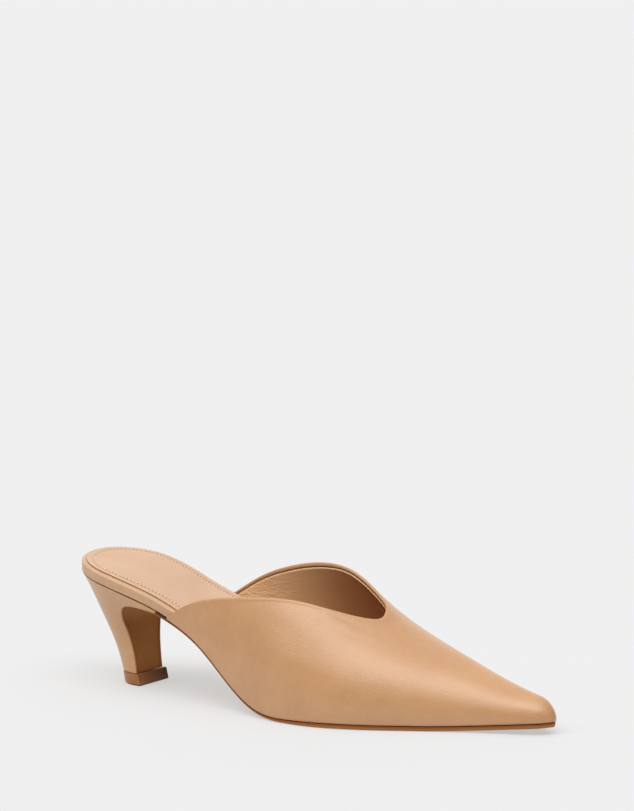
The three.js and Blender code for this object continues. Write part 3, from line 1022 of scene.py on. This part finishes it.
def breastLine():
    # smooth line through the breast table, ended at the lip
    points = np.stack([breastTable["x"], breastTable["z"]], 1).astype(float)
    fine = []
    for i in range(len(points) - 1):
        p0, p1 = points[max(i - 1, 0)], points[i]
        p2, p3 = points[i + 1], points[min(i + 2, len(points) - 1)]
        for t in np.linspace(0, 1, 12, endpoint=False):
            v0, v1 = (p2 - p0) / 2, (p3 - p1) / 2
            fine.append((2 * p1 - 2 * p2 + v0 + v1) * t ** 3 + (3 * p2 - 3 * p1 - 2 * v0 - v1) * t ** 2
                        + v0 * t + p1)
    kept = [p for p in fine if p[0] <= heel["lipEnd"]]
    lip = (heel["lipEnd"], kept[-1][1] - heel["lipDrop"])
    return np.array(kept + [lip, (heel["lipEnd"], 2 * last["seatHeight"])])


breast = breastLine()


def breastWay(share):
    # how far back along its level line the heel's side starts
    ways = np.linspace(0, 1.6, 500)
    line = heelPoint(share, ways, -1)[:, (0, 2)]
    best = 0.0
    for a, b in zip(breast[:-1], breast[1:]):
        edge = b - a
        away = (line[:, 0] - a[0]) * edge[1] - (line[:, 1] - a[1]) * edge[0]
        for i in np.nonzero(away[:-1] * away[1:] <= 0)[0]:
            part = away[i] / (away[i] - away[i + 1]) if away[i] != away[i + 1] else 0
            hit = line[i] + (line[i + 1] - line[i]) * part
            place = np.dot(hit - a, edge) / np.dot(edge, edge)
            if -1e-6 <= place <= 1 + 1e-6:
                best = max(best, ways[i] + (ways[i + 1] - ways[i]) * part)
    return best


def pulledIn(ring, share):
    # the ring drawn in towards its middle line, to close an end
    middle = centreAt(ring[:, 0])
    return np.stack([ring[:, 0], middle + (ring[:, 1] - middle) * share, ring[:, 2]], 1)


def buildHeel():
    shares = np.linspace(0, 1, 500)
    ways = np.array([breastWay(share) for share in shares])
    edge = np.array([heelPoint(s, w, -1) for s, w in zip(shares, ways)])
    measure = along(edge[:, (0, 2)]) + heel["heightWeight"] * shares
    rowShares = np.interp(np.linspace(0, measure[-1], heel["rows"]), measure, shares)
    rowWays = np.interp(rowShares, shares, ways)
    corners = np.array([heelPoint(s, w, -1) for s, w in zip(rowShares, rowWays)])
    direction = unit(np.gradient(corners[:, (0, 2)], axis=0))
    inward = np.stack([-direction[:, 1], 0 * rowShares, direction[:, 0]], 1)
    fold, recess = heel["fold"], heel["recess"]
    # folded edge beside the breast: width, depth, painted shade, and 1 where it is the breast's leather
    profile = np.array([(0.1, 0.16, 0.1, 0), (0.3, 0.02, 0.4, 0), (fold * 0.6, 0.0, 0.7, 0),
                        (fold, 0.08, 0.8, 0), (fold + 0.1, recess, 1, 1), (fold + 0.4, recess, 0.6, 1)])
    width, depth, foldShade, isBreast = profile.T
    across = np.outer(width, (0, 1, 0))
    spread = np.linspace(0, 1, heel["columns"]) ** heel["sideSpread"]
    between = np.linspace(0, 1, heel["panelColumns"])[1:-1]
    rings = []
    for share, way, back in zip(rowShares, rowWays, inward):
        side = way + heel["sideFrom"] + (2 - way - heel["sideFrom"]) * spread
        outer, inner = heelPoint(share, side, -1), heelPoint(share, side[::-1][1:], 1)
        innerFold = heelPoint(share, way, 1) - across + np.outer(depth, back)
        outerFold = (heelPoint(share, way, -1) + across + np.outer(depth, back))[::-1]
        panel = innerFold[-1] + np.outer(between, outerFold[0] - innerFold[-1])
        rings.append(np.concatenate([outer, inner, innerFold, panel, outerFold]))
    ends = [[pulledIn(ring, share) for share in heel["endFill"]] for ring in (rings[0], rings[-1])]
    plain, middle = np.zeros(len(outer) + len(inner)), np.ones(len(between))
    shown = np.pad(np.ones(len(rings)), len(heel["endFill"]))  # the closed ends carry no marks
    marks = {"seam": np.outer(shown, np.concatenate([plain, foldShade, 0 * middle, foldShade[::-1]])),
             "panel": np.outer(shown, np.concatenate([plain, isBreast, middle, isBreast[::-1]]))}
    material = leather("heel leather", heelFinish, edgeStainAndShade("seam", heel["stain"]))
    breastShadedLeather = leather("breast leather with painted shade", breastShadedFinish, edgeStainAndShade("seam", heel["stain"]))
    rings = ends[0][::-1] + rings + ends[1]
    piece = addRings("heelCover", rings, material, marks, sharp=50, second=("panel", breastShadedLeather))
    dress(piece, "heel_leather", "heel")


buildHeel()

# Top piece: glossy brown tip under the heel

tip = {
    "top": {"front": 34.1, "waist": 32.8, "back": 19.6},
    "floor": {"front": 35.5, "waist": 34.2, "back": 20.6},
    "halfWidth": 11.6,
    "height": 5.6,
    "bevel": 0.3,
    "straightColumns": 9,
    "turnColumns": 25,
    # dark foot rows, and painted shade across the front face from its outer corner to its inner one
    "darkFootRows": 4,
    "frontShadeOuter": 0.1,
    "frontShadeInner": 0.86,
    "foot": srgb(62, 36, 20),
    "light": srgb(178, 126, 82),
    "dark": srgb(152, 94, 50),
    "cloudScale": 120.0,
    "cloudHeight": 0.00003,
    "fibreScale": 900.0,
    "fibreDetail": 3.0,
    "fibreBite": 0.7,
    "fibreShare": 0.0,
    "fibreHeight": 0.00001,
    "fibreRoughness": 0.16,
    "roughness": 0.26,
    "specular": 0.2,
}


def buildTip():
    bevel, height = tip["bevel"], tip["height"]
    # height above the floor, and inset from the side
    levels = [(0, bevel * 1.8), (bevel * 0.6, bevel * 0.8), (bevel * 1.5, 0.08), (bevel * 2.4, 0),
              (height * 0.5, 0), (height - bevel, 0), (height - bevel * 0.35, bevel * 0.35), (height, bevel)]
    middleX = (tip["floor"]["front"] + tip["floor"]["back"]) / 2
    ways = np.concatenate([np.linspace(0, 1, tip["straightColumns"]),
                           1 + np.linspace(0, 1, tip["turnColumns"])[1:]])
    rings = []
    for z, inset in levels:
        ring = []
        for side, order in ((-1, ways), (1, ways[::-1][1:])):
            straight, turn = np.minimum(order, 1), np.maximum(order - 1, 0) * math.pi / 2
            low, high = outlineX(tip["floor"], straight, turn), outlineX(tip["top"], straight, turn)
            x = low + (high - low) * z / height
            y = centreAt(x) + side * (tip["halfWidth"] - inset) * np.cos(turn)
            x = middleX + (x - middleX) * (1 - inset / (middleX - tip["floor"]["back"]))
            ring.append(np.stack([x, y, z + 0 * x], 1))
        rings.append(np.concatenate(ring))
    rings = [pulledIn(rings[0], 0)] + rings + [pulledIn(rings[-1], 0)]
    # the bottom rows take the dark foot, partly wear and partly painted contact shade; the front face is
    # painted with shade, light at the outer corner and dark at the inner one
    worn = np.zeros(np.shape(rings)[:2])
    worn[:, 0], worn[:, -1] = tip["frontShadeOuter"], tip["frontShadeInner"]
    worn[:tip["darkFootRows"]] = 1
    material = mottled("heel tip", tip, worn=tip["foot"])
    dress(addRings("heelTip", rings, material, {"worn": worn}, sharp=35), "heel_tip", "heel_cap")


buildTip()

# Outsole: thin brown sole, its upper edge darkened by stain and painted shade next to the vamp, and darker
# still with painted shade in the notch at its rear end

sole = {
    "start": 55.8,
    "inset": 0.4,
    "stations": (190, 24),
    # inset from the edge, and height as a share of the thickness
    "side": ((1.6, 0.0), (1.1, 0.03), (0.6, 0.11), (0.22, 0.24), (0.05, 0.38), (0.0, 0.52), (0.0, 0.66),
             (0.04, 0.8), (0.16, 0.94), (0.45, 1.0), (1.6, 1.0)),
    "fill": (0.6, 0.2, -0.2, -0.6),
    "stainAndShadeFrom": 0.6,
    "stain": srgb(150, 80, 24),
    "hollow": srgb(92, 54, 32),
    "hollowEnd": (63.0, 68.0),
    "light": srgb(176, 124, 78),
    "dark": srgb(150, 100, 58),
    "cloudScale": 45.0,
    "cloudHeight": 0.00004,
    "fibreScale": 1500.0,
    "fibreDetail": 3.0,
    "fibreBite": 0.65,
    "fibreShare": 0.4,
    "fibreHeight": 0.00002,
    "fibreRoughness": 0.15,
    "roughness": 0.5,
    "specular": 0.25,
}


def buildSole():
    end = last["length"] - sole["inset"]
    x = stationsBetween(sole["start"], 0, end, last["toeRound"], *sole["stations"])
    half = (halfAt(x) - sole["inset"]) * roundEnd(end - x, last["toeRound"] - sole["inset"] / 2)
    thickness = soleThicknessAt(x)
    side = sole["side"]
    loops, stain = [], []

    def add(inset, level, share):
        # share: -1 at the outer side, 1 at the inner side
        y = centreAt(x) + (half - np.minimum(inset, half / 2)) * share
        top = beddingAt(x, y) - last["gap"]
        bottom = np.maximum(0, top - thickness)
        loops.append(np.stack([x, y, bottom + (top - bottom) * level], 1))
        stain.append(np.full(len(x), float(level > sole["stainAndShadeFrom"])))

    for inset, level in side:
        add(inset, level, -1)
    for share in sole["fill"]:
        add(side[0][0], 1.0, -share)
    for inset, level in side[::-1]:
        add(inset, level, 1)
    for share in sole["fill"]:
        add(side[0][0], 0.0, share)
    points = np.array(loops)
    rows, columns = points.shape[:2]
    faces = gridFaces(rows, columns, loopRows=True)
    faces.append(tuple(i * columns for i in range(rows)))
    # painted shade in the dark notch between the heel's lip and the vamp
    behind = 1 - smooth(points[:, :, 0], *sole["hollowEnd"])
    marks = {"stain": stain, "hollow": behind * stain}
    material = mottled("sole leather", sole, stain=sole["stain"], hollow=sole["hollow"])
    piece = addPiece("soleUnit", points, faces, material, marks, sharp=60)
    dress(piece, "sole_leather", "outsole")


buildSole()

# Studio: pale floor, soft light all round and one large softbox over the camera's side

studio = {
    "floorHalf": 90.0,
    "floorTone": (0.672, 0.682, 0.703),
    "floorGlow": (0.874, 0.872, 0.872),
    "glowShare": 0.55,
    "air": (1.015, 1.0, 0.975),
    "backdrop": 1.14,
    "room": 0.08,
    "roomEdge": (-0.9, -0.5),
    "zenith": 1.04,
    "zenithEdge": (0.35, 0.95),
    "boxTurn": 30.0,
    "boxRise": 63.0,
    "boxWide": 29.0,
    "boxTall": 11.0,
    # soft edges of the box, in half widths and half heights
    "boxLeft": (-6.0, -1.0),
    "boxRight": (0.5, 1.6),
    "boxBottom": (-2.7, -0.7),
    "boxTop": (0.4, 2.5),
    "boxFacing": (0.05, 0.1),
    "boxPower": 2.85,
    "cameraTurn": 33.466,
    "cameraRise": 11.183,
    "cameraYaw": -0.073,
    "cameraPitch": -4.095,
    "distance": 1.6,
    "target": (0.0, 0.00364, 0.025),
    "pixelsPerMillimetre": 2.146,
    "imageHeight": 811,
}


def towards(turn, rise):
    # from the shoe towards a light or camera that stands at that turn and rise
    a, e = math.radians(turn), math.radians(rise)
    return Vector((math.sin(a) * math.cos(e), -math.cos(a) * math.cos(e), math.sin(e)))


def rightOf(turn):
    return Vector((math.cos(math.radians(turn)), math.sin(math.radians(turn)), 0))


def buildFloor():
    half = studio["floorHalf"]
    corners = [(-half, -half, 0), (half, -half, 0), (half, half, 0), (-half, half, 0)]
    mesh = bpy.data.meshes.new("floor")
    mesh.from_pydata(corners, [], [(0, 1, 2, 3)])
    floor = putInScene("floor", mesh)
    material, shader = newMaterial("studio floor")
    # partly lit from within, as a light table, which keeps the shadows faint
    paint = shader.make("ShaderNodeBsdfDiffuse", None, {"Color": (*studio["floorTone"], 1)})
    glow = shader.make("ShaderNodeEmission", None, {"Color": (*studio["floorGlow"], 1)})
    surface = shader.make("ShaderNodeMixShader", None, {0: studio["glowShare"], 1: paint, 2: glow})
    shader.make("ShaderNodeOutputMaterial", None, {"Surface": surface})
    mesh.materials.append(material)


def buildLight():
    world = bpy.data.worlds.new("studio air")
    world.use_nodes = True
    world.node_tree.nodes.clear()
    bpy.context.scene.world = world
    shader = Shader(world)
    way = shader.make("ShaderNodeTexCoord", None, None, "Generated")

    def dot(axis):
        settings = {"operation": "DOT_PRODUCT"}
        return shader.make("ShaderNodeVectorMath", settings, {0: way, 1: tuple(axis)}, "Value")

    def edge(value, size, name):
        low, high = studio[name]
        return shader.step(value, size * low, size * high)

    axis, right = towards(studio["boxTurn"], studio["boxRise"]), rightOf(studio["boxTurn"])
    up = axis.cross(right) * -1
    ahead = dot(axis)
    across, above = dot(right) / ahead, dot(up) / ahead
    wide, tall = math.tan(math.radians(studio["boxWide"])), math.tan(math.radians(studio["boxTall"]))
    inWidth = edge(across, wide, "boxLeft") * (1 - edge(across, wide, "boxRight"))
    inHeight = edge(above, tall, "boxBottom") * (1 - edge(above, tall, "boxTop"))
    box = inWidth * inHeight * edge(ahead, 1, "boxFacing")
    height = shader.make("ShaderNodeSeparateXYZ", None, {"Vector": way}, "Z")
    front = edge(dot(towards(studio["cameraTurn"], 0)), 1, "roomEdge")
    air = studio["backdrop"] + (studio["room"] - studio["backdrop"]) * front
    air = air + (studio["zenith"] - air) * edge(height, 1, "zenithEdge")
    light = air + box * studio["boxPower"]
    surface = shader.make("ShaderNodeBackground", None, {"Color": (*studio["air"], 1), "Strength": light})
    shader.make("ShaderNodeOutputWorld", None, {"Surface": surface})


def buildCamera():
    turn, rise = studio["cameraTurn"], studio["cameraRise"]
    ahead = -towards(turn + studio["cameraYaw"], rise + studio["cameraPitch"])
    right = rightOf(turn + studio["cameraYaw"])
    up = right.cross(ahead)
    data = bpy.data.cameras.new("camera")
    camera = putInScene("camera", data)
    place = Vector(studio["target"]) + towards(turn, rise) * studio["distance"]
    for row in range(3):
        for column, axis in enumerate((right, up, -ahead, place)):
            camera.matrix_world[row][column] = axis[row]
    data.sensor_width = 36
    millimetresShown = studio["imageHeight"] / studio["pixelsPerMillimetre"]
    data.lens = data.sensor_width * studio["distance"] * 1000 / millimetresShown
    data.clip_end = 1000
    bpy.context.scene.camera = camera


buildFloor()
buildLight()
buildCamera()
bpy.context.scene.view_settings.view_transform = "Standard"
print("made the studio")
